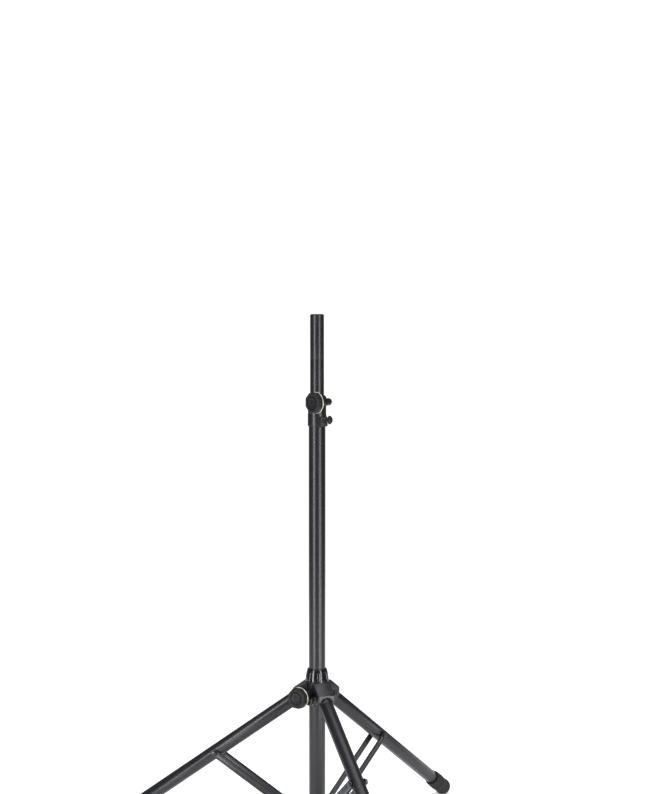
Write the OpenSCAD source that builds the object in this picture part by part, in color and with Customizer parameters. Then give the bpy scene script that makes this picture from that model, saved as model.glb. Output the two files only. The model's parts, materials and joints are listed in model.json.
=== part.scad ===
// Speaker tripod stand: a sliding pole in a fixed column, clamped at the top,
// carried by three tube legs that fold with a hub sliding on the column.
// Millimetres, +Z up. The origin is on the floor under the pole's axis,
// and the front leg points along -Y.

/* [Pole] */
// Outside diameter of the sliding pole
pole_d = 35; // [34.9:0.05:35.1]
// Height of the pole's top above the floor, pole lowered
pole_top_z = 1364; // [1340:1:1390]
// Length of the pole's tube
pole_len = 829; // [820:1:835]
// Wall of the pole's tube
pole_wall = 2; // [1.5:0.25:2.5]
// Length of the pole's top that enters a speaker's socket
socket_depth = 110; // [90:5:120]

/* [Column] */
// Outside diameter of the fixed column
column_d = 42; // [41.9:0.05:42.1]
// Height of the column tube's lower end above the floor
column_low_z = 56; // [54:1:58]
// Height of the column tube's upper end above the floor
column_top_z = 1150; // [1148:1:1151]

/* [Clamp] */
// Height of the clamp collar's lower edge
collar_low_z = 1084; // [1080:1:1088]
// Height of the clamp collar's top
collar_top_z = 1161; // [1160:0.5:1162]
// Radius of the clamp collar
collar_r = 23.5; // [23.3:0.1:23.8]
// Height of the clamp bolt
bolt_z = 1146; // [1144:1:1147]
// Height of the safety pin
pin_z = 1099; // [1098:1:1100]

/* [Knobs] */
// Radius of both knobs' coloured rings
ring_r = 27.5; // [27:0.5:28]
// Depth of both knobs, from ring to face
knob_depth = 17.5; // [16:0.5:18]

/* [Tripod] */
// Angle of each spread leg from the vertical
spread_angle = 54.5; // [54:0.5:55]
// Length of a leg from its pivot to the middle of its foot
leg_len = 640; // [635:1:645]
// Outside diameter of a leg tube
leg_d = 35; // [34.5:0.25:35]
// Distance of the leg pivots from the column's axis
pivot_r = 45; // [45:0.5:46]
// Length of a brace, and its place along the leg
brace_len = 270; // [268:1:272]
// Radius of a rubber foot's ball
foot_r = 22; // [21.5:0.5:22]

/* [Hidden] */
$fn = 64;

// Colours
black_steel = "#303236";
black_cast = "#26272a";
black_plastic = "#1c1c1f";
dark_rubber = "#37373b";
lime = "#d4dc7c";
bright_steel = "#c8cacc";
black_zinc = "#1f1f22";

// Azimuths, measured from +X towards +Y
front_az = -90;
right_az = 30;
left_az = 150;
hub_knob_az = -150;
split_az = -72;
pin_az = -32;

// Overlap of a cutter past the face that it cuts
past = 1;
// Gap between a sliding or turning face and its guide
slide_gap = 0.3;
run_gap = 0.08;

pole_r = pole_d / 2;
pole_low_z = pole_top_z - pole_len;
column_r = column_d / 2;
column_in_r = 19.5;
leg_r = leg_d / 2;

// Clamp collar
collar_waist_r = 23;
split_w = 3;
split_low_z = 1117;
bolt_x = 28.3;
bolt_r = 4;
lug_r = 9.4;
lug_knob_y = -16.8;
lug_nut_y = 10.2;
nut_r = 9.4;
washer_t = 2.4;
clamp_knob_y = -24.3;
dome_r = 9.2;

// Safety pin
pin_r = 3;
pin_tip_r = pole_r + 0.45;
pin_boss_end = 25.3;
bush_end = 28.6;
pin_knob_r = 11.1;
spring_from = 20.8;
spring_to = 27.2;

// Knobs, along their own axis from the ring's back face
ring_t = 2.5;
grip_r = 26.6;
lobes = 8;
scallop_r = 26;
scallop_depth = 1.5;
cap_r = 16.5;
cap_pocket_z = 13.6;
insert_r = 8.6;
insert_neck = 4.5;
insert_z = 11.5;

// Hub
pivot_z = 20 + leg_len * cos(spread_angle);
hub_low = -23;
hub_top = 38;
bell_top = 70;
hood_w = 45;
hood_end_r = 66;
hood_end_top = 12.4;
hood_end_low = -6;
hood_round = 3;
roof_up = 22.3;
tube_room = 18.3;
cheek_room = 18.6;
knuckle_room = 18.5;
sleeve_in_r = 23.3;
sleeve_r = 26.7;
pivot_boss_r = 13;
pivot_bolt_r = 4;
hub_knob_up = 7;
hub_knob_r = 70;
hub_boss_end = 62;
stud_r = 5;
liner_in_r = column_r + slide_gap;

// Bell: height above the pivots and outer radius, from the bottom up
bell_curve = [[38, 30], [46, 29.2], [54, 28.1], [62, 26.6], [67, 25.4]];
flute_r = 6.9;
flute_half = 7.7;
flute_bite = 1.5;

// Brace collar and the open lower pivot of each brace
brace_pin_z = pivot_z - 2 * brace_len * cos(spread_angle);
lug_half_w = 17.4;
brace_pin_r = 4;
seat_r = brace_pin_r + slide_gap;
strip_in = 18.2;
strip_t = 3;
strip_w = 18;
collar_low = -16;
collar_high = 17;

// Gas spring
gas_low_z = 70;
gas_top_z = 640;
gas_r = 11;
rod_r = 4;
rod_pin_z = 690;
anchor_z = 80;
piston_z = 130;

// Safety holes of the pole, pole lowered
hole_pitch = 95;
hole_z = [for (i = [0:5]) pin_z - i * hole_pitch];

module at_az(az) rotate([0, 0, az]) children();

// A frame with +X along azimuth az, moved out and up, with +Z turned outwards
module radial(az, r, z) at_az(az) translate([r, 0, z]) rotate([0, 90, 0]) children();

// The clamp bolt's frame: origin on the bolt axis in the split, +Z towards the nut
module bolt_frame() at_az(split_az) translate([bolt_x, 0, bolt_z]) rotate([-90, 0, 0]) children();

// A leg's frame: origin at the pivot, +Z towards the foot, +X under the leg, +Y across
module leg_frame(az) {
    at_az(az) translate([pivot_r, 0, pivot_z]) rotate([0, 180 - spread_angle, 0]) children();
}

// A brace's frame: origin at its lower pin, +Z towards the leg, +Y across
module brace_frame(az) {
    at_az(az) translate([pivot_r, 0, brace_pin_z]) rotate([0, spread_angle, 0]) children();
}

module tube(r, wall, h) {
    difference() {
        cylinder(r = r, h = h);
        translate([0, 0, -past]) cylinder(r = r - wall, h = h + 2 * past);
    }
}

// A bar along Y, centred on the origin
module cross_bar(r, w, sides = 48) {
    rotate([90, 0, 0]) cylinder(r = r, h = w, center = true, $fn = sides);
}

// ---- column ----

module column_tube() {
    color(black_steel) difference() {
        translate([0, 0, column_low_z])
            tube(column_r, column_r - column_in_r, column_top_z - column_low_z);
        translate([0, 0, anchor_z]) cross_bar(3.05, 60);
        radial(pin_az, 10, pin_z) cylinder(r = 5, h = 20);
        at_az(split_az) translate([column_in_r - past, -1, split_low_z])
            cube([6, 2, column_top_z - split_low_z + past]);
    }
}

module column_end_cap() {
    color(black_plastic) difference() {
        union() {
            translate([0, 0, column_low_z - 5]) cylinder(r1 = column_r - 2, r2 = column_r, h = 2);
            translate([0, 0, column_low_z - 3]) cylinder(r = column_r, h = 3);
            translate([0, 0, column_low_z]) cylinder(r = column_in_r - 0.05, h = 12);
        }
        translate([0, 0, column_low_z]) cylinder(r = column_in_r - 3, h = 12 + past);
    }
}

module collar_profile() {
    rotate_extrude($fn = 96) polygon([
        [column_r, collar_low_z], [collar_r - 0.8, collar_low_z], [collar_r, collar_low_z + 0.8],
        [collar_r, 1112], [collar_waist_r, 1116], [collar_waist_r, 1130], [collar_r, 1134],
        [collar_r, collar_top_z - 5.2], [collar_r - 0.6, collar_top_z - 3.6],
        [pole_r + 2.2, collar_top_z], [pole_r + 0.7, collar_top_z],
        [pole_r + 0.7, column_top_z + 2.5], [column_r, column_top_z + 2.5]
    ]);
}

module clamp_lugs() {
    bolt_frame() {
        translate([0, 0, lug_knob_y]) cylinder(r = lug_r, h = lug_nut_y - lug_knob_y);
        translate([-14, -lug_r, lug_knob_y]) cube([14, 2 * lug_r, lug_nut_y - lug_knob_y]);
    }
}

// Boss that carries the safety pin's bush
module pin_boss() radial(pin_az, 15, pin_z) cylinder(r = 9, h = pin_boss_end - 15);

// Flat round-cornered block beside the safety pin
module screw_block() {
    at_az(split_az) intersection() {
        translate([0, -11, collar_low_z]) cube([28.6, 22, 25]);
        translate([0, 0, collar_low_z + 12.5]) rotate([0, 90, 0]) cylinder(r = 15.2, h = 40);
    }
}

module clamp_collar() {
    color(black_cast) difference() {
        union() {
            collar_profile();
            difference() {
                union() {
                    clamp_lugs();
                    pin_boss();
                }
                translate([0, 0, collar_low_z - past]) cylinder(r = column_r + 0.6, h = 90);
            }
        }
        at_az(split_az) translate([10, -split_w / 2, split_low_z]) cube([40, split_w, 60]);
        bolt_frame() cylinder(r = bolt_r + 0.2, h = 80, center = true);
        bolt_frame() translate([0, 0, lug_nut_y]) cylinder(r = nut_r + 0.15, h = 14);
        radial(pin_az, 10, pin_z) cylinder(r = 6.2, h = 30);
        radial(split_az, 20, collar_low_z + 12.5) cylinder(r = 2.52, h = 10);
    }
}

// Moulded housing on the collar, held by the collar's screw
module clamp_housing() {
    color(black_plastic) difference() {
        screw_block();
        translate([0, 0, collar_low_z - past]) cylinder(r = collar_r + 0.02, h = 90);
        radial(pin_az, 15, pin_z) cylinder(r = 9.05, h = 30);
        radial(split_az, 20, collar_low_z + 12.5) cylinder(r = 2.52, h = 10);
    }
}

module clamp_liner() {
    color(black_plastic) difference() {
        union() {
            translate([0, 0, 1060]) cylinder(r = column_in_r, h = column_top_z - 1060);
            translate([0, 0, column_top_z]) cylinder(r = column_r, h = 2.5);
        }
        translate([0, 0, 1059]) cylinder(r = pole_r + slide_gap, h = 100);
        radial(pin_az, 10, pin_z) cylinder(r = 5, h = 20);
        at_az(split_az) translate([10, -1.2, split_low_z]) cube([20, 2.4, 60]);
    }
}

module clamp_bolt() {
    color(bright_steel) bolt_frame() {
        translate([0, 0, clamp_knob_y - 8]) cylinder(r = bolt_r, h = lug_nut_y + 6.5 - clamp_knob_y + 8);
    }
}

module clamp_washer() {
    color(bright_steel) bolt_frame() translate([0, 0, lug_knob_y - washer_t]) difference() {
        cylinder(r = 8, h = washer_t);
        translate([0, 0, -past]) cylinder(r = bolt_r + 0.1, h = washer_t + 2 * past);
    }
}

// Domed nut: a hexagon with a ball top, hollow for the bolt's end
module clamp_dome_nut() {
    color(black_zinc) bolt_frame() translate([0, 0, lug_nut_y]) difference() {
        union() {
            cylinder(r = nut_r, h = 1.4);
            translate([0, 0, 1.4]) cylinder(r = nut_r - 0.1, h = 2.4, $fn = 6);
            intersection() {
                translate([0, 0, 3.4]) sphere(r = dome_r);
                translate([0, 0, 3.4]) cylinder(r = dome_r + past, h = 12);
            }
        }
        translate([0, 0, -past]) cylinder(r = bolt_r + 0.02, h = 7.2 + past);
    }
}

module collar_screw() {
    color(black_zinc) radial(split_az, 28.6, collar_low_z + 12.5) difference() {
        union() {
            translate([0, 0, -7.2]) cylinder(r = 2.5, h = 8);
            cylinder(r = 5.6, h = 0.8);
            translate([0, 0, 0.8]) cylinder(r1 = 5.6, r2 = 4, h = 1.8);
        }
        translate([0, 0, 0.6]) cylinder(r = 2.3, h = 4, $fn = 6);
    }
}

module pin_housing_bush() {
    color(bright_steel) radial(pin_az, 21.4, pin_z) difference() {
        cylinder(r = 6.2, h = bush_end - 21.4);
        translate([0, 0, -past]) cylinder(r = 5, h = spring_to - 21.4 + past);
        translate([0, 0, -past]) cylinder(r = pin_r + run_gap, h = 20);
    }
}

// Coil spring round the safety pin
coil_turns = 4;
coil_sides = 8;
coil_steps = 14;
coil_wire = 0.45;
coil_mean_r = 4;
coil_pitch = (spring_to - spring_from - 2 * coil_wire) / coil_turns;

function coil_point(i, k) =
    let (
        turn = 360 * i / coil_steps,
        side = 360 * k / coil_sides,
        out = coil_mean_r + coil_wire * cos(side)
    )
    [out * cos(turn), out * sin(turn), coil_pitch * i / coil_steps + coil_wire * sin(side)];

module pin_spring() {
    rings = coil_turns * coil_steps;
    points = [for (i = [0:rings]) for (k = [0:coil_sides - 1]) coil_point(i, k)];
    walls = [for (i = [0:rings - 1]) for (k = [0:coil_sides - 1])
        let (next = (k + 1) % coil_sides)
        [i * coil_sides + k, (i + 1) * coil_sides + k, (i + 1) * coil_sides + next,
         i * coil_sides + next]];
    first_end = [[for (k = [0:coil_sides - 1]) k]];
    last_end = [[for (k = [0:coil_sides - 1]) rings * coil_sides + coil_sides - 1 - k]];
    color(bright_steel) radial(pin_az, spring_from + coil_wire, pin_z)
        polyhedron(points = points, faces = concat(walls, first_end, last_end));
}

// Collar at the column's foot, with three lugs whose seats are open below
module brace_collar() {
    color(black_cast) translate([0, 0, brace_pin_z]) difference() {
        union() {
            translate([0, 0, collar_low]) cylinder(r = 27, h = collar_high - collar_low);
            for (az = [front_az, right_az, left_az]) at_az(az) {
                translate([20, -lug_half_w, -8])
                    cube([pivot_r - 20, 2 * lug_half_w, 16]);
                translate([pivot_r, 0, 0]) cross_bar(8, 2 * lug_half_w);
            }
        }
        translate([0, 0, collar_low - past]) cylinder(r = column_r, h = 50);
        for (az = [front_az, right_az, left_az]) at_az(az) {
            translate([pivot_r, 0, 0]) cross_bar(seat_r, 60);
            translate([pivot_r - seat_r, -30, -20]) cube([2 * seat_r, 60, 20]);
            radial(60, 20, 12) cylinder(r = 2, h = 12);
        }
    }
}

module brace_collar_screws() {
    color(black_zinc) for (az = [front_az, right_az, left_az])
        radial(az + 60, column_r + 0.1, brace_pin_z + 12) difference() {
            union() {
                cylinder(r = 1.95, h = 6);
                translate([0, 0, 5.95]) cylinder(r = 4, h = 2.2);
            }
            translate([0, 0, 7]) cylinder(r = 1.8, h = 4, $fn = 6);
        }
}

module gas_spring_cylinder() {
    color(black_steel) difference() {
        translate([0, 0, gas_low_z]) cylinder(r = gas_r, h = gas_top_z - gas_low_z);
        translate([0, 0, gas_low_z + 24]) cylinder(r = gas_r - 1.5, h = 600);
        translate([0, 0, anchor_z]) cross_bar(3.05, 40);
    }
}

module gas_spring_gland() {
    color(bright_steel) translate([0, 0, gas_top_z - 14]) difference() {
        union() {
            cylinder(r = gas_r - 1.5, h = 14);
            translate([0, 0, 14]) cylinder(r = gas_r - 0.5, h = 2);
        }
        translate([0, 0, -past]) cylinder(r = rod_r + run_gap, h = 20);
    }
}

module gas_spring_anchor_pin() {
    color(bright_steel) translate([0, 0, anchor_z]) cross_bar(3, 2 * column_r - 0.6);
}

// ---- pole ----

module pole_tube() {
    color(black_steel) difference() {
        translate([0, 0, pole_low_z]) tube(pole_r, pole_wall, pole_len);
        for (z = hole_z) radial(pin_az, 10, z) cylinder(r = 3.6, h = 12);
        translate([0, 0, pole_top_z - socket_depth - 0.8]) tube(pole_r + past, past + 0.25, 0.8);
        translate([0, 0, rod_pin_z]) cross_bar(3.05, 50);
    }
}

module pole_top_cap() {
    color(black_plastic) {
        translate([0, 0, pole_top_z - 18]) cylinder(r = pole_r - pole_wall - 0.05, h = 18);
        translate([0, 0, pole_top_z]) cylinder(r1 = pole_r - 0.4, r2 = pole_r - 2, h = 1.6);
    }
}

module pole_guide_bush() {
    color(black_plastic) difference() {
        union() {
            translate([0, 0, pole_low_z - 12]) cylinder(r = column_in_r - slide_gap, h = 12);
            translate([0, 0, pole_low_z]) cylinder(r = pole_r - pole_wall - 0.05, h = 24);
        }
        translate([0, 0, pole_low_z - 20]) cylinder(r = gas_r + 1, h = 60);
    }
}

module gas_spring_rod() {
    color(bright_steel) difference() {
        union() {
            translate([0, 0, piston_z]) cylinder(r = rod_r, h = rod_pin_z - 12 - piston_z);
            translate([0, 0, rod_pin_z - 12]) cylinder(r = pole_r - pole_wall - 0.3, h = 24);
        }
        translate([0, 0, rod_pin_z]) cross_bar(3.05, 50);
    }
}

module gas_spring_piston() {
    color(bright_steel) translate([0, 0, piston_z - 10])
        cylinder(r = gas_r - 1.5 - run_gap, h = 10);
}

module rod_cross_pin() {
    color(bright_steel) translate([0, 0, rod_pin_z]) cross_bar(3, 2 * pole_r - 0.6);
}

// ---- knobs, drawn along +Z from the ring's back face ----

module knob_grip() {
    color(dark_rubber) difference() {
        rotate_extrude($fn = 96) polygon(concat(
            [[insert_r, ring_t], [grip_r - 0.4, ring_t], [grip_r, ring_t + 1.5]],
            [for (a = [0:15:90]) [
                grip_r - 4 + 4 * cos(a) - 0.5 * sin(a),
                knob_depth - 3.2 + 3.2 * sin(a)
            ]],
            [[cap_r + 0.1, knob_depth], [cap_r + 0.1, cap_pocket_z], [insert_r, cap_pocket_z]]
        ));
        for (i = [0:lobes - 1]) at_az(360 * (i + 0.5) / lobes)
            translate([grip_r + scallop_r - scallop_depth, 0, ring_t - past])
                cylinder(r = scallop_r, h = 30);
    }
}

module knob_ring() {
    color(lime) difference() {
        cylinder(r = ring_r, h = ring_t, $fn = 96);
        translate([0, 0, -past]) cylinder(r = insert_r, h = ring_t + 2 * past);
    }
}

module knob_cap() {
    color(dark_rubber) rotate_extrude($fn = 96) polygon([
        [0, cap_pocket_z], [cap_r, cap_pocket_z], [cap_r, knob_depth - 1.4],
        [cap_r - 0.8, knob_depth - 0.6], [0, knob_depth - 0.1]
    ]);
}

module clamp_knob_place() bolt_frame() mirror([0, 0, 1]) translate([0, 0, -clamp_knob_y]) children();

module hub_knob_place() radial(hub_knob_az, hub_knob_r, pivot_z + hub_knob_up) children();

module clamp_knob_grip() clamp_knob_place() knob_grip();
module clamp_knob_ring() clamp_knob_place() knob_ring();
module clamp_knob_cap() clamp_knob_place() knob_cap();

module clamp_knob_insert() {
    color(bright_steel) clamp_knob_place() difference() {
        translate([0, 0, -insert_neck]) cylinder(r = insert_r, h = insert_z + insert_neck);
        translate([0, 0, -insert_neck - past]) cylinder(r = bolt_r + run_gap, h = 40);
    }
}

module hub_knob_grip() hub_knob_place() knob_grip();
module hub_knob_ring() hub_knob_place() knob_ring();
module hub_knob_cap() hub_knob_place() knob_cap();

module hub_knob_stud() {
    color(bright_steel) hub_knob_place() {
        translate([0, 0, 24.2 - hub_knob_r]) cylinder(r = stud_r, h = hub_knob_r - 24.2);
        translate([0, 0, -insert_neck]) cylinder(r = insert_r, h = insert_z + insert_neck);
    }
}

// ---- safety pin ----

module safety_pin_shaft() {
    color(bright_steel) radial(pin_az, 0, pin_z) {
        translate([0, 0, pin_tip_r]) cylinder(r = pin_r, h = 36 - pin_tip_r);
        translate([0, 0, 19.6]) cylinder(r = 4.6, h = 1.2);
    }
}

module safety_pin_knob() {
    color(black_plastic) radial(pin_az, bush_end + 0.4, pin_z) difference() {
        rotate_extrude() polygon(concat(
            [[0, 0], [9.6, 0], [pin_knob_r, 1.2]],
            [for (a = [0:10:90]) [pin_knob_r * cos(a), 2 + 8.8 * sin(a)]]
        ));
        translate([0, 0, -past]) cylinder(r = pin_r, h = 36 - bush_end - 0.4 + past);
    }
}

// ---- hub ----

// One hood seen from its side: X outwards, Y up from the pivot
module hood_side() {
    polygon([
        [21.5, hub_low + 0.8], [sleeve_r, hub_low + 0.8], [pivot_r - 6, -9], [pivot_r + 6, -9],
        [hood_end_r - 2, hood_end_low - 1.4], [hood_end_r, hood_end_low + 1],
        [hood_end_r, hood_end_top - 2], [hood_end_r - 2, hood_end_top + 1.4],
        [30.8, hub_top - 0.6], [21.5, hub_top - 0.6]
    ]);
    translate([pivot_r, 0]) circle(r = pivot_boss_r);
}

// Rounded bar along the hood's roof that trims its long edges
module hood_trim() {
    half = hood_w / 2;
    translate([0, 0, -40]) linear_extrude(height = 140) union() {
        translate([-roof_up, -half + hood_round]) square([80, hood_w - 2 * hood_round]);
        translate([-roof_up + hood_round, -half]) square([80, hood_w]);
        for (s = [-1, 1]) translate([-roof_up + hood_round, s * (half - hood_round)])
            circle(r = hood_round, $fn = 32);
    }
}

// Plan of a hood with rounded outer corners
module hood_plan() {
    half = hood_w / 2;
    linear_extrude(height = 200, center = true) union() {
        translate([0, -half]) square([hood_end_r - hood_round, hood_w]);
        translate([0, -half + hood_round]) square([hood_end_r, hood_w - 2 * hood_round]);
        for (s = [-1, 1]) translate([hood_end_r - hood_round, s * (half - hood_round)])
            circle(r = hood_round, $fn = 32);
    }
}

module hood(az) {
    intersection() {
        at_az(az) translate([0, hood_w / 2, pivot_z]) rotate([90, 0, 0])
            linear_extrude(height = hood_w) hood_side();
        leg_frame(az) hood_trim();
        at_az(az) translate([0, 0, pivot_z]) hood_plan();
    }
}

// Room for a leg, seen from its side: its knuckle, and all that it passes as it folds
module leg_room_side() {
    circle(r = knuckle_room);
    rotate(spread_angle - 90) translate([0, -60]) square([90, 62]);
    translate([-knuckle_room, -60]) square([2 * knuckle_room, 60]);
}

module leg_room(az) {
    leg_frame(az) cylinder(r = tube_room, h = 90);
    at_az(az) translate([pivot_r, cheek_room, pivot_z]) rotate([90, 0, 0])
        linear_extrude(height = 2 * cheek_room) leg_room_side();
}

module hub_body() {
    color(black_cast) difference() {
        union() {
            translate([0, 0, pivot_z + hub_low]) cylinder(r = sleeve_r, h = hub_top - hub_low);
            translate([0, 0, pivot_z + 10]) cylinder(r = 29.4, h = hub_top - 10);
            translate([0, 0, pivot_z + hub_top]) cylinder(r = 25.4, h = 12);
            difference() {
                for (az = [front_az, right_az, left_az]) hood(az);
                for (az = [front_az, right_az, left_az]) leg_room(az);
            }
            radial(hub_knob_az, 20, pivot_z + hub_knob_up) cylinder(r = 13.5, h = hub_boss_end - 20);
        }
        translate([0, 0, pivot_z + hub_low - past]) cylinder(r = sleeve_in_r, h = 100);
        for (az = [front_az, right_az, left_az])
            at_az(az) translate([pivot_r, 0, pivot_z]) cross_bar(pivot_bolt_r + 0.02, 60);
        radial(hub_knob_az, 20, pivot_z + hub_knob_up) cylinder(r = 7.5, h = 50);
        radial(front_az, sleeve_r - 2.5, pivot_z + hub_low + 6) cylinder(r = 1.4, h = 5);
    }
}

function bell_r_at(up) = lookup(up, bell_curve);

module hub_bell() {
    bell_mid = 54;
    color(black_plastic) difference() {
        translate([0, 0, pivot_z]) rotate_extrude($fn = 96) polygon(concat(
            [for (p = bell_curve) [p[1], p[0]]],
            [[24.6, bell_top - 1], [23.8, bell_top], [21.7, bell_top], [21.7, bell_top - 4],
             [23.4, bell_top - 6], [23.4, hub_top + 14], [25.5, hub_top + 12.5], [25.5, hub_top]]
        ));
        for (i = [0:7]) at_az(hub_knob_az + 45 * i)
            translate([bell_r_at(bell_mid) + flute_r - flute_bite, 0, pivot_z + bell_mid - 1])
                rotate([0, -8.5, 0]) {
                    cylinder(r = flute_r, h = 2 * flute_half, center = true);
                    for (s = [-1, 1]) translate([0, 0, s * flute_half]) sphere(r = flute_r);
                }
    }
}

module hub_liner() {
    color(black_plastic) difference() {
        union() {
            translate([0, 0, pivot_z + hub_low - 1.5]) cylinder(r = sleeve_in_r + 2, h = 1.5);
            translate([0, 0, pivot_z + hub_low])
                cylinder(r = sleeve_in_r, h = hub_top + 24 - hub_low);
        }
        translate([0, 0, pivot_z + hub_low - 5]) cylinder(r = liner_in_r, h = 120);
        radial(hub_knob_az, 18, pivot_z + hub_knob_up) cylinder(r = 6.2, h = 10);
    }
}

module hub_pivot_bolts() {
    half = hood_w / 2;
    color(black_zinc) for (az = [front_az, right_az, left_az])
        at_az(az) translate([pivot_r, 0, pivot_z]) {
            rotate([90, 0, 0]) translate([0, 0, -half - 6])
                cylinder(r = pivot_bolt_r, h = hood_w + 6);
            rotate([90, 0, 0]) translate([0, 0, half]) difference() {
                union() {
                    cylinder(r = 8, h = 1);
                    translate([0, 0, 1]) cylinder(r1 = 7, r2 = 5.5, h = 3.4);
                }
                translate([0, 0, 1.8]) cylinder(r = 2.9, h = 4, $fn = 6);
            }
        }
}

module hub_pivot_nuts() {
    half = hood_w / 2;
    color(black_zinc) for (az = [front_az, right_az, left_az])
        at_az(az) translate([pivot_r, half, pivot_z]) rotate([-90, 0, 0]) difference() {
            union() {
                cylinder(r = 8, h = 1);
                translate([0, 0, 1]) cylinder(r = 7.4, h = 4.4, $fn = 6);
            }
            translate([0, 0, -past]) cylinder(r = pivot_bolt_r + 0.02, h = 10);
        }
}

module hub_thread_bush() {
    color(bright_steel) radial(hub_knob_az, 42, pivot_z + hub_knob_up) difference() {
        cylinder(r = 7.5, h = hub_boss_end - 42 + 1);
        translate([0, 0, -past]) cylinder(r = stud_r + run_gap, h = 40);
    }
}

module hub_clamp_pad() {
    color(black_plastic) radial(hub_knob_az, liner_in_r + 0.2, pivot_z + hub_knob_up)
        cylinder(r = 6, h = 1.7);
}

module hub_bell_screw() {
    color(bright_steel) radial(front_az, sleeve_r - 2.5, pivot_z + hub_low + 6) difference() {
        union() {
            cylinder(r = 1.4, h = 2.5);
            translate([0, 0, 2.5]) cylinder(r = 2.4, h = 0.9);
        }
        translate([0, 0, 2.8]) cylinder(r = 1, h = 2, $fn = 6);
    }
}

// ---- legs ----

leg_tube_from = 24;
leg_tube_to = leg_len - 14;
leg_wall = 1.8;
knuckle_r = 17.2;
brace_bolt_r = 4;

module leg_tube(az) {
    color(black_steel) leg_frame(az) difference() {
        translate([0, 0, leg_tube_from]) tube(leg_r, leg_wall, leg_tube_to - leg_tube_from);
        translate([0, 0, brace_len]) cross_bar(brace_bolt_r + 0.02, 60);
    }
}

// Plug in the tube's top: a round knuckle on the pivot bolt, with a shoulder on the tube's end
module leg_knuckle(az) {
    plug_r = leg_r - leg_wall - 0.05;
    color(black_cast) leg_frame(az) difference() {
        union() {
            intersection() {
                cross_bar(knuckle_r, 2 * knuckle_r, 96);
                translate([0, 0, -40]) cylinder(r = knuckle_r, h = 80);
            }
            cylinder(r = knuckle_r, h = leg_tube_from - 3);
            translate([0, 0, leg_tube_from - 5]) cylinder(r = leg_r + 0.1, h = 5);
            translate([0, 0, leg_tube_from]) cylinder(r = plug_r, h = 30);
        }
        cross_bar(pivot_bolt_r + run_gap, 60);
    }
}

// Rubber boot over the tube's lower end, with a ball cut flat at the floor
module leg_foot(az) {
    boot_r = leg_r + 3.6;
    boot_from = leg_len - 64;
    color(black_plastic) intersection() {
        leg_frame(az) difference() {
            union() {
                translate([0, 0, boot_from]) cylinder(r1 = boot_r - 1, r2 = boot_r, h = 2);
                translate([0, 0, boot_from + 2]) cylinder(r = boot_r, h = 62);
                for (i = [0:2]) translate([0, 0, boot_from + 12 + 9 * i])
                    cylinder(r = boot_r + 0.9, h = 4.5);
                translate([0, 0, leg_len]) sphere(r = foot_r);
            }
            translate([0, 0, boot_from - past]) cylinder(r = leg_r, h = leg_tube_to - boot_from + past);
        }
        translate([-1000, -1000, 0]) cube(2000);
    }
}

// Through-bolt that holds a brace's two strips on its leg
module brace_bolt(az) {
    head_y = strip_in + strip_t + 0.3;
    color(black_zinc) leg_frame(az) translate([0, 0, brace_len]) rotate([90, 0, 0]) {
        cylinder(r = brace_bolt_r, h = 2 * head_y, center = true);
        translate([0, 0, head_y]) cylinder(r1 = 7.5, r2 = 6, h = 3);
        translate([0, 0, -head_y - 4.2]) cylinder(r = 7, h = 4.2, $fn = 6);
    }
}

module brace_strip() {
    bolt_room = brace_bolt_r + run_gap;
    rotate([90, 0, 0]) translate([0, 0, strip_in]) difference() {
        linear_extrude(height = strip_t) union() {
            translate([-strip_w / 2, 0]) square([strip_w, brace_len]);
            circle(r = strip_w / 2);
            translate([0, brace_len]) circle(r = strip_w / 2);
        }
        translate([0, 0, -past]) cylinder(r = brace_pin_r, h = 10);
        translate([0, brace_len, -past]) cylinder(r = bolt_room, h = 10);
    }
}

module brace(az) {
    color(black_steel) brace_frame(az) {
        brace_strip();
        mirror([0, 1, 0]) brace_strip();
    }
}

module brace_pin(az) {
    end_y = strip_in + strip_t;
    color(black_zinc) brace_frame(az) rotate([90, 0, 0]) {
        cylinder(r = brace_pin_r, h = 2 * end_y, center = true);
        translate([0, 0, end_y]) cylinder(r1 = 6.5, r2 = 5, h = 2.2);
        translate([0, 0, -end_y - 2.2]) cylinder(r1 = 5, r2 = 6.5, h = 2.2);
    }
}

column_tube();
column_end_cap();
clamp_collar();
clamp_liner();
clamp_bolt();
clamp_washer();
clamp_dome_nut();
clamp_housing();
collar_screw();
pin_housing_bush();
pin_spring();
brace_collar();
brace_collar_screws();
gas_spring_cylinder();
gas_spring_gland();
gas_spring_anchor_pin();
pole_tube();
pole_top_cap();
pole_guide_bush();
gas_spring_rod();
gas_spring_piston();
rod_cross_pin();
clamp_knob_grip();
clamp_knob_ring();
clamp_knob_cap();
clamp_knob_insert();
safety_pin_shaft();
safety_pin_knob();
hub_body();
hub_bell();
hub_liner();
hub_pivot_bolts();
hub_pivot_nuts();
hub_thread_bush();
hub_clamp_pad();
hub_bell_screw();
hub_knob_grip();
hub_knob_ring();
hub_knob_cap();
hub_knob_stud();
leg_tube(front_az);  // leg_front_tube
leg_tube(right_az);  // leg_right_tube
leg_tube(left_az);  // leg_left_tube
leg_knuckle(front_az);  // leg_front_knuckle
leg_knuckle(right_az);  // leg_right_knuckle
leg_knuckle(left_az);  // leg_left_knuckle
leg_foot(front_az);  // leg_front_foot
leg_foot(right_az);  // leg_right_foot
leg_foot(left_az);  // leg_left_foot
brace_bolt(front_az);  // brace_bolt_front
brace_bolt(right_az);  // brace_bolt_right
brace_bolt(left_az);  // brace_bolt_left
brace(front_az);  // brace_front
brace(right_az);  // brace_right
brace(left_az);  // brace_left
brace_pin(front_az);  // brace_pin_front
brace_pin(right_az);  // brace_pin_right
brace_pin(left_az);  // brace_pin_left
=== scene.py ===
"""Speaker tripod stand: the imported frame, refined pieces, finishes, floor, lights and camera."""
import json
import math

import bmesh
import bpy
from bpy.props import FloatProperty, FloatVectorProperty, IntProperty, PointerProperty
from mathutils import Matrix, Vector

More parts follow.
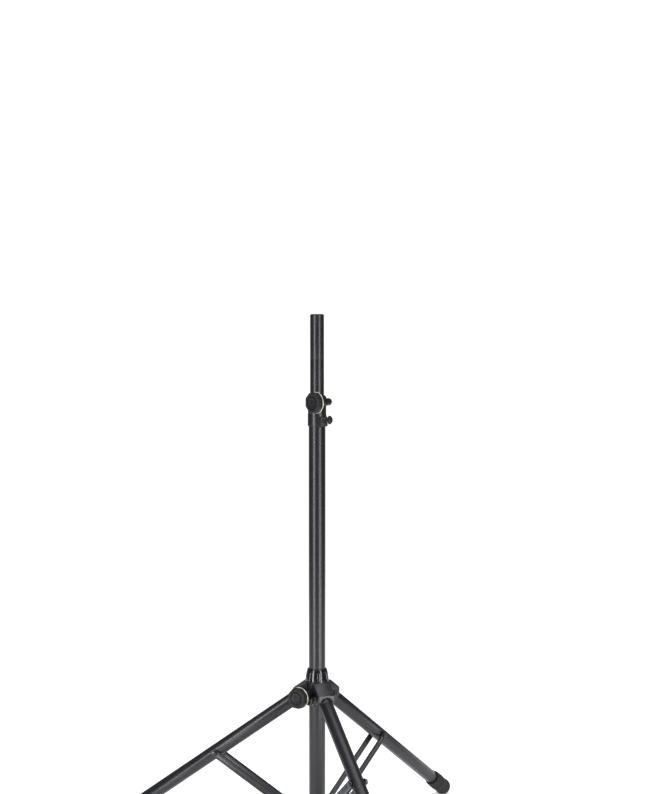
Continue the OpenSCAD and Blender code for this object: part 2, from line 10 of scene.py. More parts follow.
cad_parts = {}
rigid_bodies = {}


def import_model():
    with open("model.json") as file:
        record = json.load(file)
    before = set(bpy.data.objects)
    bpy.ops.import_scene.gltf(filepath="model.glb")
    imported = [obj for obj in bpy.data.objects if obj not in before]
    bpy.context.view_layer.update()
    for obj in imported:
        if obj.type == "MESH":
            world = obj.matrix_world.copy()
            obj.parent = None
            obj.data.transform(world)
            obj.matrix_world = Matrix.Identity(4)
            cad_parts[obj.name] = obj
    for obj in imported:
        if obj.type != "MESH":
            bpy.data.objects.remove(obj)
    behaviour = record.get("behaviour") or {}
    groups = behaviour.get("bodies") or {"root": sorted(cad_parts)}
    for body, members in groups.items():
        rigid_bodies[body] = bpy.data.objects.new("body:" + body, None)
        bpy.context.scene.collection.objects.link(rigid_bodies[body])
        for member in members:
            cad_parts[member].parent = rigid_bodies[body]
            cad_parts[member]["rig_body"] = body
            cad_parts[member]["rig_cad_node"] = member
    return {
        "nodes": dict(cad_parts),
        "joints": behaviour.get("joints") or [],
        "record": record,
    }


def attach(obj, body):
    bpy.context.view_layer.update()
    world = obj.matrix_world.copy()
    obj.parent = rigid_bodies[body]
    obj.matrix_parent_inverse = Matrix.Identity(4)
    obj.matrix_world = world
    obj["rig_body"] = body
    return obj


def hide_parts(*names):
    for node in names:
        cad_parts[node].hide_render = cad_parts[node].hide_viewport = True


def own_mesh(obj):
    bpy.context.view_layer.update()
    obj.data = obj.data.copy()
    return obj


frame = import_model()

bl_info = {
    "name": "Speaker tripod stand",
    "version": (1, 0, 0),
    "blender": (4, 5, 0),
    "location": "View3D > Sidebar > Stand",
    "description": "Refined pieces and finishes of a speaker tripod stand",
    "category": "Object",
}

NODES = frame["nodes"]
JOINTS = {joint["name"]: joint for joint in frame["joints"]}
SLOT_OF = {part["node"]: part["material_slot"] for part in frame["record"]["subparts"]}
BODY_OF = {
    node: body
    for body, nodes in frame["record"]["behaviour"]["bodies"].items()
    for node in nodes
}
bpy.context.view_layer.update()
MM = 0.001
SIDES = ("front", "right", "left")


def linear(code):
    """An sRGB hex colour as linear red, green and blue."""
    parts = [int(code[i:i + 2], 16) / 255 for i in (1, 3, 5)]
    return tuple(c / 12.92 if c <= 0.04045 else ((c + 0.055) / 1.055) ** 2.4 for c in parts)


def colour(name, about, code):
    return FloatVectorProperty(
        name=name, description=about, default=linear(code), subtype="COLOR", min=0, max=1
    )


def length(name, about, size_mm):
    return FloatProperty(
        name=name, description=about, default=size_mm * MM, unit="LENGTH", min=0, precision=5
    )


# ---------------------------------------------------------------- sizes and colours


class StandSizes(bpy.types.PropertyGroup):
    lobes: IntProperty(name="Knob lobes", description="Soft corners round a knob", default=8)
    grip_radius: length("Grip radius", "Radius of a knob's grip over its lobes", 26.6)
    scallop: length("Scallop depth", "How far a grip dips between two lobes", 1.3)
    face_round: length("Face rounding", "Rounding of a grip's front rim", 3.6)
    groove_radius: length("Groove radius", "Radius of the round groove in a knob's face", 16.5)
    groove_width: length("Groove width", "Gap between a knob's centre and its grip", 1.3)
    ring_inner: length("Ring inner radius", "Inner radius of a knob's coloured ring", 21.5)
    ring_gap: length("Ring gap", "Dark gap between a knob's coloured ring and its grip", 1.0)
    ring_inset: length("Ring inset", "How far a ring's rim lies inside its CAD outline", 0.5)
    cast_edge: length("Casting edges", "Rounding of the castings' sharp edges", 1.3)
    steel_edge: length("Steel edges", "Rounding of bolts, nuts and cut tube ends", 0.25)
    strip_edge: length("Strip edges", "Rounding of the braces' stamped edges", 0.5)
    rubber_edge: length("Rubber edges", "Rounding of the feet's ribs and rims", 0.8)


class StandColours(bpy.types.PropertyGroup):
    coat: colour("Powder coat", "Satin black coat on tubes and braces", "#101015")
    casting: colour("Casting coat", "Textured black coat on hub and collars", "#0e0e12")
    gloss: colour("Gloss plastic", "Polished black moulding of the bell", "#08080a")
    grip: colour("Grip", "Soft-touch dark grey of the knobs", "#18181b")
    face: colour("Knob face", "Matt dark grey of the knobs' centres and the pull knob", "#151518")
    ring: colour("Ring", "Pale lime of the knobs' rings", "#b2b79e")
    rubber: colour("Foot rubber", "Matt black rubber of the feet", "#161617")
    nylon: colour("Nylon", "Self-coloured black nylon of liners and caps", "#141416")
    blackened: colour("Black zinc", "Blackened steel of nuts, bolts and pins", "#131315")
    zinc: colour("Zinc plate", "Plated steel of bolts, nuts and screws", "#b9bcc0")
    chrome: colour("Rod plate", "Ground and plated rod of the gas spring", "#d8dadc")
    floor: colour("Floor", "Plain pale floor", "#f7f7f7")


# ---------------------------------------------------------------- finishes

# The part of a noise texture's range that most of its values fall in
NOISE_SPAN = (0.3, 0.7)


def add(tree, kind, links=None, **settings):
    """Adds a node, sets its sockets and attributes, and links the sockets that links names."""
    node = tree.nodes.new("ShaderNode" + kind)
    for name, value in settings.items():
        if hasattr(node, name):
            setattr(node, name, value)
        else:
            node.inputs[name.replace("_", " ")].default_value = value
    for name, source in (links or {}).items():
        tree.links.new(source, node.inputs[name])
    return node


def material(name):
    """A new material, its node tree, its Principled shader and its object coordinates."""
    made = bpy.data.materials.new(name)
    made.use_nodes = True
    tree = made.node_tree
    shader = tree.nodes["Principled BSDF"]
    place = add(tree, "TexCoord").outputs["Object"]
    return made, tree, shader, place


def dress(shader, **values):
    for name, value in values.items():
        shader.inputs[name.replace("_", " ")].default_value = value


def waves_per_metre(size_mm):
    """Texture scale at which one grain measures size_mm."""
    return 1 / (size_mm * MM)


def grain(tree, place, size_mm, detail=2.0, roughness=0.5):
    return add(
        tree, "TexNoise", {"Vector": place}, Scale=waves_per_metre(size_mm), Detail=detail,
        Roughness=roughness,
    ).outputs["Fac"]


def shade(tone, factor):
    return tuple(min(1.0, c * factor) for c in tone)


def tint(tree, shader, value, tone, dark, light):
    """Base colour that wanders between two shades of a tone with a texture value."""
    ramp = tree.nodes.new("ShaderNodeValToRGB")
    for stop, position, factor in zip(ramp.color_ramp.elements, NOISE_SPAN, (dark, light)):
        stop.position = position
        stop.color = (*shade(tone, factor), 1)
    tree.links.new(value, ramp.inputs["Fac"])
    tree.links.new(ramp.outputs["Color"], shader.inputs["Base Color"])


def polish(tree, shader, value, low, high):
    """Roughness that wanders between two limits with a texture value."""
    node = add(tree, "MapRange", {"Value": value})
    for socket, number in zip(("From Min", "From Max", "To Min", "To Max"),
                              (*NOISE_SPAN, low, high)):
        node.inputs[socket].default_value = number
    tree.links.new(node.outputs["Result"], shader.inputs["Roughness"])


def bump(tree, shader, height, depth_mm, strength):
    node = add(tree, "Bump", {"Height": height}, Strength=strength, Distance=depth_mm * MM)
    tree.links.new(node.outputs["Normal"], shader.inputs["Normal"])


def powder_coat(tones):
    """Satin black powder coat on tubes and braces: an even coat with a soft sheen."""
    made, tree, shader, place = material("satin_black_powder_coat")
    cloud = grain(tree, place, 38, detail=3)
    tint(tree, shader, cloud, tones.coat, 0.85, 1.15)
    # Orange peel is 0.4 mm on the real coat; it is drawn at 1.2 mm so that it shows.
    peel = grain(tree, place, 1.2, detail=2)
    polish(tree, shader, cloud, 0.31, 0.35)
    bump(tree, shader, peel, 0.006, 0.1)
    dress(shader, IOR=1.5, Specular_IOR_Level=0.4)
    return made


def casting_coat(tones):
    """Black coat sprayed on die-cast alloy: a finer, drier grain than on the tubes."""
    made, tree, shader, place = material("textured_black_coat_on_casting")
    cloud = grain(tree, place, 14, detail=4)
    tint(tree, shader, cloud, tones.casting, 0.8, 1.3)
    polish(tree, shader, cloud, 0.29, 0.36)
    # The sprayed grain is about 0.5 mm; drawn at 0.9 mm so that it shows.
    speck = grain(tree, place, 0.9, detail=3, roughness=0.6)
    bump(tree, shader, speck, 0.02, 0.35)
    dress(shader, IOR=1.5, Specular_IOR_Level=0.45)
    return made


def gloss_moulding(tones):
    """Polished black ABS: glossy, with the faint waves of moulded plastic."""
    made, tree, shader, place = material("polished_black_abs")
    cloud = grain(tree, place, 9, detail=2)
    tint(tree, shader, cloud, tones.gloss, 0.8, 1.2)
    polish(tree, shader, cloud, 0.14, 0.2)
    bump(tree, shader, cloud, 0.02, 0.2)
    dress(shader, IOR=1.5, Specular_IOR_Level=0.45)
    return made


def soft_touch(tones):
    """Soft-touch TPE over the knobs: dark grey, dry, with a slight sheen at its edges."""
    made, tree, shader, place = material("soft_touch_tpe")
    cloud = grain(tree, place, 6, detail=4)
    tint(tree, shader, cloud, tones.grip, 0.93, 1.07)
    polish(tree, shader, cloud, 0.46, 0.56)
    # The spark-eroded mould grain is about 0.15 mm; drawn at 0.5 mm so that it shows.
    bump(tree, shader, grain(tree, place, 0.5, detail=2), 0.015, 0.3)
    dress(shader, IOR=1.5, Specular_IOR_Level=0.18, Sheen_Weight=0.03, Sheen_Roughness=0.4)
    return made


def matt_face(tones):
    """Matt ABS of the knobs' centres and the pull knob: fine satin, lighter where worn."""
    made, tree, shader, place = material("matt_black_abs")
    cloud = grain(tree, place, 4, detail=4)
    tint(tree, shader, cloud, tones.face, 0.9, 1.2)
    polish(tree, shader, cloud, 0.42, 0.52)
    bump(tree, shader, grain(tree, place, 0.5, detail=2), 0.015, 0.3)
    dress(shader, IOR=1.5, Specular_IOR_Level=0.2)
    return made


def lime_moulding(tones):
    """Pale lime polypropylene ring: milky, with a little light inside it."""
    made, tree, shader, place = material("lime_polypropylene")
    cloud = grain(tree, place, 5, detail=3)
    tint(tree, shader, cloud, tones.ring, 0.92, 1.05)
    polish(tree, shader, cloud, 0.32, 0.42)
    bump(tree, shader, cloud, 0.02, 0.2)
    dress(shader, IOR=1.49, Subsurface_Weight=0.15, Subsurface_Scale=0.6 * MM)
    return made


def foot_rubber(tones):
    """Moulded EPDM rubber: dull black, scuffed grey in patches."""
    made, tree, shader, place = material("moulded_epdm_rubber")
    scuff = grain(tree, place, 7, detail=6, roughness=0.65)
    tint(tree, shader, scuff, tones.rubber, 1, 2.2)
    polish(tree, shader, scuff, 0.62, 0.8)
    bump(tree, shader, grain(tree, place, 0.8, detail=3), 0.06, 0.5)
    dress(shader, IOR=1.52, Specular_IOR_Level=0.35)
    return made


def black_nylon(tones):
    """Injection-moulded black nylon: waxy, with a fine etched grain."""
    made, tree, shader, place = material("moulded_black_nylon")
    cloud = grain(tree, place, 8, detail=3)
    tint(tree, shader, cloud, tones.nylon, 0.85, 1.25)
    polish(tree, shader, cloud, 0.36, 0.46)
    # The etched grain is about 0.2 mm; drawn at 0.6 mm so that it shows.
    bump(tree, shader, grain(tree, place, 0.6, detail=2), 0.015, 0.3)
    dress(shader, IOR=1.53, Specular_IOR_Level=0.5)
    return made


def zinc_plate(tones):
    """Bright zinc on steel screws and nuts: grey-white, faintly mottled and scratched."""
    made, tree, shader, place = material("bright_zinc_plated_steel")
    mottle = grain(tree, place, 2.5, detail=5)
    tint(tree, shader, mottle, tones.zinc, 0.7, 1)
    polish(tree, shader, mottle, 0.22, 0.38)
    bump(tree, shader, grain(tree, place, 0.4, detail=3), 0.01, 0.3)
    dress(shader, Metallic=1.0)
    return made


def black_zinc(tones):
    """Black-passivated zinc on steel bolts and nuts: near black, oily, with a hard glint."""
    made, tree, shader, place = material("black_zinc_plated_steel")
    mottle = grain(tree, place, 2, detail=5)
    tint(tree, shader, mottle, tones.blackened, 0.8, 1.6)
    polish(tree, shader, mottle, 0.22, 0.36)
    bump(tree, shader, grain(tree, place, 0.4, detail=3), 0.01, 0.3)
    dress(shader, IOR=1.5, Metallic=0.3, Specular_IOR_Level=0.6)
    return made


def rod_plate(tones):
    """Hard chrome on a ground rod: bright, with grinding lines round it."""
    made, tree, shader, place = material("ground_chrome_rod")
    lines = grain(tree, add(
        tree, "Mapping", {"Vector": place}, Scale=(0.05, 0.05, 1.0)
    ).outputs["Vector"], 0.3, detail=2)
    tint(tree, shader, lines, tones.chrome, 0.85, 1)
    polish(tree, shader, lines, 0.08, 0.16)
    bump(tree, shader, lines, 0.003, 0.3)
    dress(shader, Metallic=1.0)
    return made


def pale_floor(tones):
    """Painted studio floor: plain and pale."""
    made, tree, shader, place = material("pale_studio_floor")
    cloud = grain(tree, place, 900, detail=2)
    tint(tree, shader, cloud, tones.floor, 0.985, 1)
    dress(shader, Roughness=0.9, Specular_IOR_Level=0.1, Emission_Color=(1, 1, 1, 1),
          Emission_Strength=0.4)
    return made


FINISHES = {
    "tube_black": powder_coat,
    "brace_black": powder_coat,
    "cast_black": casting_coat,
    "bell_gloss": gloss_moulding,
    "pin_knob_gloss": matt_face,
    "knob_rubber": soft_touch,
    "knob_cap_matte": matt_face,
    "ring_lime": lime_moulding,
    "foot_rubber": foot_rubber,
    "nylon_black": black_nylon,
    "steel_bright": zinc_plate,
    "steel_blackened": black_zinc,
    "rod_chrome": rod_plate,
}
MADE = {}


def finish(piece, slot):
    """Gives the piece the finish of a material slot, made once for each kind of finish."""
    maker = FINISHES[slot]
    if maker not in MADE:
        MADE[maker] = maker(bpy.context.scene.stand_colours)
    piece.data.materials.clear()
    piece.data.materials.append(MADE[maker])
    for face in piece.data.polygons:
        face.material_index = 0


# ---------------------------------------------------------------- modelling helpers


def nothing_selected():
    if bpy.context.mode != "OBJECT":
        bpy.ops.object.mode_set(mode="OBJECT")
    bpy.ops.object.select_all(action="DESELECT")


def only(piece):
    nothing_selected()
    piece.select_set(True)
    bpy.context.view_layer.objects.active = piece


def begin(kind, **settings):
    """Adds a primitive and opens it for editing."""
    nothing_selected()
    getattr(bpy.ops.mesh, f"primitive_{kind}_add")(**settings)
    piece = bpy.context.active_object
    bpy.ops.object.mode_set(mode="EDIT")
    return piece


def pick(piece, kind, test):
    """Selects the open piece's verts, edges or faces that pass the test, and counts them."""
    modes = {"verts": "VERT", "edges": "EDGE", "faces": "FACE"}
    bpy.ops.mesh.select_mode(type=modes[kind])
    bpy.ops.mesh.select_all(action="DESELECT")
    mesh = bmesh.from_edit_mesh(piece.data)
    chosen = [item for item in getattr(mesh, kind) if test(item)]
    for item in chosen:
        item.select_set(True)
    mesh.select_flush(True)
    bmesh.update_edit_mesh(piece.data)
    return len(chosen)


def at_height(height, slack=1e-5):
    """Test for faces or edges that lie level at a height."""
    return lambda item: all(abs(v.co.z - height) < slack for v in item.verts)


def bevelled(piece, kind, test, size, segments, profile=0.5):
    pick(piece, kind, test)
    bpy.ops.mesh.bevel(offset=size, segments=segments, profile=profile, affect="EDGES")


def smoothed(piece, angle_deg=35):
    """Closes the editing and smooths all but the sharp edges."""
    only(piece)
    bpy.ops.object.shade_smooth_by_angle(angle=math.radians(angle_deg))
    return piece


def placed(piece, name, node):
    """Names a piece, puts its place into its mesh, and lets it stand for a CAD node."""
    only(piece)
    bpy.ops.object.transform_apply(location=True, rotation=True, scale=True)
    piece.name = name
    piece.data.name = name
    finish(piece, SLOT_OF[node])
    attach(piece, BODY_OF[node])
    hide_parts(node)
    return piece


def refined(node, edge, segments=2, angle_deg=35):
    """A copy of a CAD node with its loose triangles joined and its edges rounded."""
    only(NODES[node])
    bpy.ops.object.duplicate()
    piece = bpy.context.active_object
    bpy.ops.object.parent_clear(type="CLEAR_KEEP_TRANSFORM")
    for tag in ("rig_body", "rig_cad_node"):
        if tag in piece:
            del piece[tag]
    bpy.ops.object.mode_set(mode="EDIT")
    bpy.ops.mesh.select_all(action="SELECT")
    bpy.ops.mesh.remove_doubles(threshold=2e-6)
    bpy.ops.mesh.dissolve_limited(angle_limit=math.radians(0.6))
    bpy.ops.object.mode_set(mode="OBJECT")
    rounding = piece.modifiers.new("rounding", "BEVEL")
    rounding.width = edge
    rounding.segments = segments
    rounding.limit_method = "ANGLE"
    rounding.angle_limit = math.radians(angle_deg)
    rounding.use_clamp_overlap = True
    bpy.ops.object.modifier_apply(modifier=rounding.name)
    smoothed(piece, 40)
    return placed(piece, node + "_finished", node)


# ---------------------------------------------------------------- knobs

# Sides of a round piece, and rows of points along one lobe of a grip
ROUND = 96
ROWS_PER_LOBE = 12
# Rounding of the grip's back rim and of the ring's edges
SMALL_ROUND_MM = 0.6
# The grip's face lies under its rim, and a bevelled pocket in it leaves play round the centre
FACE_SUNK_MM = 0.35
POCKET_PLAY_MM = 0.7
POCKET_EDGE_MM = 0.35
# The centre disc lies under the rim too: flat rim, slope, dish, a fine round groove, middle
CAP_SUNK_MM = 0.2
CAP_STEPS_MM = ((1.2, 0), (0.8, 0.35), (4.6, 0.1), (0.5, 0.3), (0.5, -0.3), (3, 0.05))
# The back plate lies inside the ring's back: rim, slope in, flat channel, slope out to a boss
BACK_SUNK_MM = 0.3
BACK_STEPS_MM = ((1.5, 0), (0.8, 0.8), (6, 0), (0.8, -0.8))


def knob_frame(which):
    """Matrix that puts a knob, drawn up +Z from its ring's back face, on its screw."""
    joint = JOINTS[which + "_turn"]
    axis = Vector(joint["axis"]).normalized()
    foot = Vector(joint["pos_m"])
    ring = NODES[which + "_ring"].data.vertices
    start = min((vertex.co - foot).dot(axis) for vertex in ring)
    turn = axis.to_track_quat("Z", "Y").to_matrix().to_4x4()
    return Matrix.Translation(foot + axis * start) @ turn


def knob_heights(which):
    """Heights of ring top, pocket floor and face above the ring's back face."""
    joint = JOINTS[which + "_turn"]
    axis = Vector(joint["axis"]).normalized()

    def along(node):
        spots = [vertex.co.dot(axis) for vertex in NODES[node].data.vertices]
        return min(spots), max(spots)

    ring = along(which + "_ring")
    grip = along(which + "_grip")
    cap = along(which + "_cap")
    return ring[1] - ring[0], cap[0] - ring[0], grip[1] - ring[0]


def moved_to(piece, matrix):
    piece.matrix_world = matrix
    return piece


def upright(vertices, radius, bottom, top):
    """Opens a cylinder that stands on the Z axis between two heights, with its place applied."""
    piece = begin(
        "cylinder", vertices=vertices, radius=radius, depth=top - bottom,
        location=(0, 0, (bottom + top) / 2), end_fill_type="NGON",
    )
    bpy.ops.object.mode_set(mode="OBJECT")
    bpy.ops.object.transform_apply(location=True, rotation=False, scale=False)
    bpy.ops.object.mode_set(mode="EDIT")
    return piece


def step(run_mm, drop_mm=0):
    """Insets the selected faces and moves them in; a negative drop moves them out."""
    bpy.ops.mesh.inset(thickness=run_mm * MM, depth=-drop_mm * MM)


def knob_grip(which, sizes):
    """The soft eight-lobed grip with a rounded rim and a sunk round pocket."""
    ring_top, pocket, face = knob_heights(which)
    rows = sizes.lobes * ROWS_PER_LOBE
    piece = upright(rows, sizes.grip_radius, ring_top, face)
    for k in range(ROWS_PER_LOBE // 2 + 1):
        dip = sizes.scallop * (1 + math.cos(math.tau * k / ROWS_PER_LOBE)) / 2

        def in_row(vertex, k=k):
            turn = math.atan2(vertex.co.y, vertex.co.x) / (math.tau / rows)
            return round(turn) % ROWS_PER_LOBE in (k, ROWS_PER_LOBE - k)

        pick(piece, "verts", in_row)
        factor = 1 - dip / sizes.grip_radius
        bpy.ops.transform.resize(value=(factor, factor, 1), center_override=(0, 0, 0))
    bevelled(piece, "edges", at_height(face), sizes.face_round, 7)
    bevelled(piece, "edges", at_height(ring_top), SMALL_ROUND_MM * MM, 3)
    # A flat rim, a short slope, and a sunk face round the pocket
    pick(piece, "faces", at_height(face))
    step(2.2)
    step(0.5, FACE_SUNK_MM)
    low = face - FACE_SUNK_MM * MM
    pick(piece, "faces", at_height(low))
    step(1.6)
    # The lobed middle face is made round, fitted to the pocket and pushed in
    pick(piece, "faces", lambda f: at_height(low)(f) and len(f.verts) > 8)
    bpy.ops.transform.tosphere(value=1)
    rim = max(v.co.to_2d().length for f in bmesh.from_edit_mesh(piece.data).faces
              if f.select for v in f.verts)
    fit = (sizes.groove_radius + POCKET_PLAY_MM * MM) / rim
    bpy.ops.transform.resize(value=(fit, fit, 1), center_override=(0, 0, 0))
    step(POCKET_EDGE_MM, POCKET_EDGE_MM)
    bpy.ops.mesh.extrude_region_move(
        TRANSFORM_OT_translate={"value": (0, 0, pocket - low + POCKET_EDGE_MM * MM)}
    )
    smoothed(piece)
    return piece


def knob_ring(which, sizes):
    """The thin coloured ring behind the grip, open in the middle and softly edged."""
    ring_top = knob_heights(which)[0]
    outer = max(
        (v.co - Vector(JOINTS[which + "_turn"]["pos_m"])).cross(
            Vector(JOINTS[which + "_turn"]["axis"])
        ).length for v in NODES[which + "_ring"].data.vertices
    )
    ring_top -= sizes.ring_gap
    outer -= sizes.ring_inset
    rounding = SMALL_ROUND_MM * MM

    def at_ends(item):
        return at_height(0)(item) or at_height(ring_top)(item)

    piece = upright(ROUND, outer, 0, ring_top)
    bevelled(piece, "edges", at_ends, rounding, 4)
    pick(piece, "faces", at_ends)
    bpy.ops.mesh.inset(thickness=outer - rounding - sizes.ring_inner)
    bpy.ops.mesh.bridge_edge_loops()
    smoothed(piece)
    return piece


def knob_cap(which, sizes):
    """The disc in the grip's pocket, dished a little, with a rolled rim."""
    _, pocket, face = knob_heights(which)
    top = face - CAP_SUNK_MM * MM
    piece = upright(ROUND, sizes.groove_radius - sizes.groove_width, pocket, top)
    bevelled(piece, "edges", at_height(top), 0.7 * MM, 4)
    pick(piece, "faces", at_height(top))
    for run, drop in CAP_STEPS_MM:
        step(run, drop)
    smoothed(piece)
    return piece


def back_plate(which, sizes):
    """The grip's back inside the ring, with a shallow raised boss round the screw."""
    ring_top = knob_heights(which)[0]
    back = BACK_SUNK_MM * MM
    piece = upright(ROUND, sizes.ring_inner - 0.1 * MM, back, ring_top)
    pick(piece, "faces", at_height(back))
    for run, drop in BACK_STEPS_MM:
        step(run, drop)
    smoothed(piece)
    return piece


class STAND_OT_knobs(bpy.types.Operator):
    """Models both screw knobs: grip, coloured ring, centre disc and back plate"""

    bl_idname = "stand.knobs"
    bl_label = "Screw knobs"

    def execute(self, context):
        sizes = context.scene.stand_sizes
        for which in ("clamp_knob", "hub_knob"):
            matrix = knob_frame(which)
            placed(moved_to(knob_grip(which, sizes), matrix), which + "_soft_grip", which + "_grip")
            placed(moved_to(knob_ring(which, sizes), matrix), which + "_lime_ring", which + "_ring")
            placed(moved_to(knob_cap(which, sizes), matrix), which + "_centre", which + "_cap")
            placed(moved_to(back_plate(which, sizes), matrix), which + "_back_plate",
                   which + "_grip")
        return {"FINISHED"}


# ---------------------------------------------------------------- castings, tubes, steel

# Rounding of the bell's flutes, of other mouldings' edges, and of the spring's wire
FLUTE_EDGE_MM = 0.5
MOULD_EDGE_MM = 0.4
WIRE_EDGE_MM = 0.06


class STAND_OT_castings(bpy.types.Operator):
    """Rounds the edges of the hub, the clamp collar, the brace collar and the knuckles"""

    bl_idname = "stand.castings"
    bl_label = "Castings"

    def execute(self, context):
        edge = context.scene.stand_sizes.cast_edge
        for node in ("hub_body", "clamp_collar", "brace_collar"):
            refined(node, edge, 3)
        for side in SIDES:
            refined(f"leg_{side}_knuckle", edge, 2)
        return {"FINISHED"}


class STAND_OT_mouldings(bpy.types.Operator):
    """Rounds the fluted bell, the pull knob and the end caps"""

    bl_idname = "stand.mouldings"
    bl_label = "Mouldings"

    def execute(self, context):
        refined("hub_bell", FLUTE_EDGE_MM * MM, 3, 25)
        for node in ("clamp_housing", "safety_pin_knob", "column_end_cap", "pole_top_cap"):
            refined(node, MOULD_EDGE_MM * MM, 3)
        return {"FINISHED"}


class STAND_OT_feet(bpy.types.Operator):
    """Rounds the ribs and rims of the rubber feet"""

    bl_idname = "stand.feet"
    bl_label = "Rubber feet"

    def execute(self, context):
        for side in SIDES:
            refined(f"leg_{side}_foot", context.scene.stand_sizes.rubber_edge, 3)
        return {"FINISHED"}


class STAND_OT_tubes(bpy.types.Operator):
    """Breaks the cut edges of the tubes and of the braces' strips"""

    bl_idname = "stand.tubes"
    bl_label = "Tubes and braces"

    def execute(self, context):
        sizes = context.scene.stand_sizes
        tubes = ["column_tube", "pole_tube"] + [f"leg_{side}_tube" for side in SIDES]
        for node in tubes:
            refined(node, sizes.steel_edge, 2)
        for side in SIDES:
            refined("brace_" + side, sizes.strip_edge, 2)
        return {"FINISHED"}


class STAND_OT_fasteners(bpy.types.Operator):
    """Breaks the edges of bolts, nuts, screws and washers"""

    bl_idname = "stand.fasteners"
    bl_label = "Fasteners"

    def execute(self, context):
        edge = context.scene.stand_sizes.steel_edge
        nodes = ["clamp_dome_nut", "clamp_washer", "hub_pivot_bolts", "hub_pivot_nuts",
                 "hub_bell_screw", "collar_screw", "pin_housing_bush", "brace_collar_screws"]
        for side in SIDES:
            nodes += ["brace_bolt_" + side, "brace_pin_" + side]
        for node in nodes:
            refined(node, edge, 2)
        return {"FINISHED"}


class STAND_OT_spring(bpy.types.Operator):
    """Rounds the pull pin's spring and gives it a mesh of its own"""

    bl_idname = "stand.spring"
    bl_label = "Pin spring"

    def execute(self, context):
        piece = refined("pin_spring", WIRE_EDGE_MM * MM, 1, 25)
        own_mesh(piece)
        return {"FINISHED"}


class STAND_OT_frame_finishes(bpy.types.Operator):
    """Gives every CAD node that still shows the finish of its own slot"""

    bl_idname = "stand.frame_finishes"
    bl_label = "Frame finishes"

    def execute(self, context):
        for name, node in NODES.items():
            finish(node, SLOT_OF[name])
        return {"FINISHED"}


# ---------------------------------------------------------------- stage


# Turn of the camera's view from +Y, its downward tilt, and its bearing from the stand
VIEW_TURN = math.radians(-21.9)
VIEW_TILT_DEG = 5.18
CAMERA_BEARING = VIEW_TURN - math.pi / 2
CAMERA_PLACE = (-1.7759, -4.4713, 1.593)
FOCAL_LENGTH_MM = 86.87
# The soft boxes' distance from the pole, height of their centre, width and height, in metres
BOX_DISTANCE = 1.3
BOX_CENTRE = 1.2
BOX_WIDTH = 0.2
BOX_TALL = 2.4
FLOOR_SIZE = 6


def strip_light(name, turn_deg, power):
    """A soft box that stands at a bearing from the camera's own and faces the pole."""
    bearing = CAMERA_BEARING + math.radians(turn_deg)
    place = Vector(
        (math.cos(bearing) * BOX_DISTANCE, math.sin(bearing) * BOX_DISTANCE, BOX_CENTRE)
    )
    target = Vector((0, 0, BOX_CENTRE))
    nothing_selected()
    bpy.ops.object.light_add(type="AREA", location=place)
    lamp = bpy.context.active_object
    lamp.name = name
    lamp.data.shape = "RECTANGLE"
    lamp.data.size = BOX_WIDTH
    lamp.data.size_y = BOX_TALL
    lamp.data.energy = power
    lamp.rotation_euler = (target - place).to_track_quat("-Z", "Y").to_euler()
    lamp.visible_camera = False


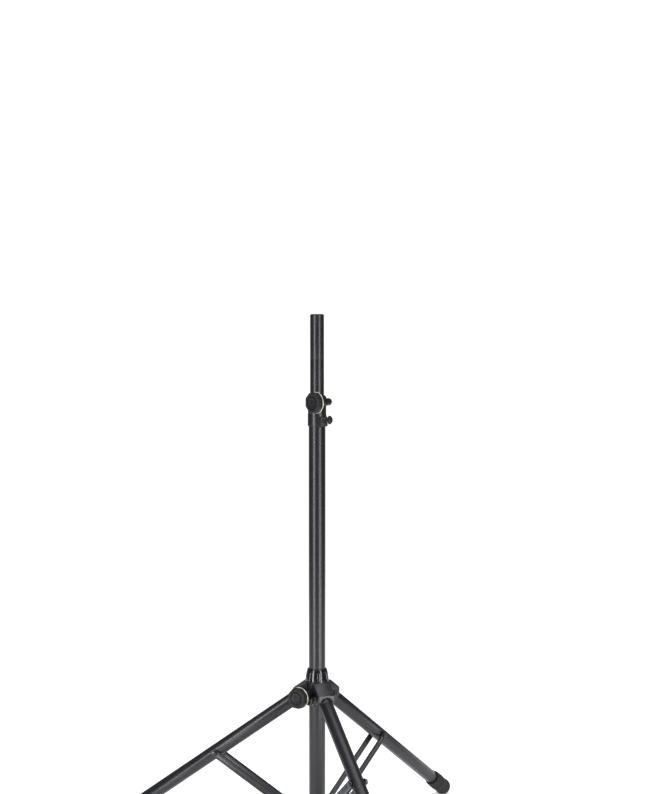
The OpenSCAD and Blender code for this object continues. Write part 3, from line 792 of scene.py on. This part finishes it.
class STAND_OT_stage(bpy.types.Operator):
    """Sets a plain pale floor, soft boxes, an even sky and the camera"""

    bl_idname = "stand.stage"
    bl_label = "Stage"

    def execute(self, context):
        scene = context.scene
        tones = scene.stand_colours
        # The floor lies half a millimetre under the feet
        floor = begin("plane", size=FLOOR_SIZE, location=(0, 0, -0.5 * MM))
        bpy.ops.mesh.subdivide(number_cuts=3)
        bpy.ops.object.mode_set(mode="OBJECT")
        bpy.ops.object.transform_apply(location=True, rotation=True, scale=True)
        floor.name = "studio_floor"
        floor.data.materials.append(pale_floor(tones))

        # The backdrop is seen white, but lights the stand like a dim room.
        sky = bpy.data.worlds.new("white_backdrop")
        scene.world = sky
        sky.use_nodes = True
        tree = sky.node_tree
        room = tree.nodes["Background"]
        room.inputs["Color"].default_value = (0.95, 0.96, 1, 1)
        room.inputs["Strength"].default_value = 0.25
        white = add(tree, "Background", Color=(1, 1, 1, 1), Strength=1.05)
        seen = add(tree, "LightPath").outputs["Is Camera Ray"]
        mixed = add(tree, "MixShader", {0: seen, 1: room.outputs[0], 2: white.outputs[0]})
        tree.links.new(mixed.outputs[0], tree.nodes["World Output"].inputs["Surface"])

        nothing_selected()
        bpy.ops.object.light_add(type="SUN", location=(0, 0, 4))
        overhead = bpy.context.active_object
        overhead.name = "overhead_light"
        overhead.data.energy = 1.5
        overhead.data.angle = math.radians(50)
        strip_light("left_strip", -42, 30)
        strip_light("right_strip", 42, 24)

        bpy.ops.object.camera_add(
            location=CAMERA_PLACE,
            rotation=(math.radians(90 - VIEW_TILT_DEG), 0, VIEW_TURN),
        )
        camera = bpy.context.active_object
        camera.name = "studio_camera"
        camera.data.sensor_width = 36
        camera.data.lens = FOCAL_LENGTH_MM
        camera.data.clip_end = 200
        camera.data.dof.use_dof = False
        scene.camera = camera
        scene.view_settings.view_transform = "Standard"
        return {"FINISHED"}


# ---------------------------------------------------------------- add-on


PIECES = (
    STAND_OT_frame_finishes,
    STAND_OT_tubes,
    STAND_OT_castings,
    STAND_OT_mouldings,
    STAND_OT_knobs,
    STAND_OT_feet,
    STAND_OT_fasteners,
    STAND_OT_spring,
    STAND_OT_stage,
)


class STAND_PT_sidebar(bpy.types.Panel):
    """Lists the stand's sizes, colours and operators"""

    bl_idname = "STAND_PT_sidebar"
    bl_label = "Speaker tripod stand"
    bl_space_type = "VIEW_3D"
    bl_region_type = "UI"
    bl_category = "Stand"

    def draw(self, context):
        column = self.layout.column()
        for group in (context.scene.stand_sizes, context.scene.stand_colours):
            for name in group.bl_rna.properties.keys():
                if name not in ("rna_type", "name"):
                    column.prop(group, name)
        for piece in PIECES:
            column.operator(piece.bl_idname)


CLASSES = (StandSizes, StandColours, *PIECES, STAND_PT_sidebar)


def register():
    for cls in CLASSES:
        bpy.utils.register_class(cls)
    bpy.types.Scene.stand_sizes = PointerProperty(type=StandSizes)
    bpy.types.Scene.stand_colours = PointerProperty(type=StandColours)


def unregister():
    del bpy.types.Scene.stand_colours
    del bpy.types.Scene.stand_sizes
    for cls in reversed(CLASSES):
        bpy.utils.unregister_class(cls)


def main():
    register()
    for piece in PIECES:
        group, name = piece.bl_idname.split(".")
        getattr(getattr(bpy.ops, group), name)()
    nothing_selected()


if __name__ == "__main__":
    main()
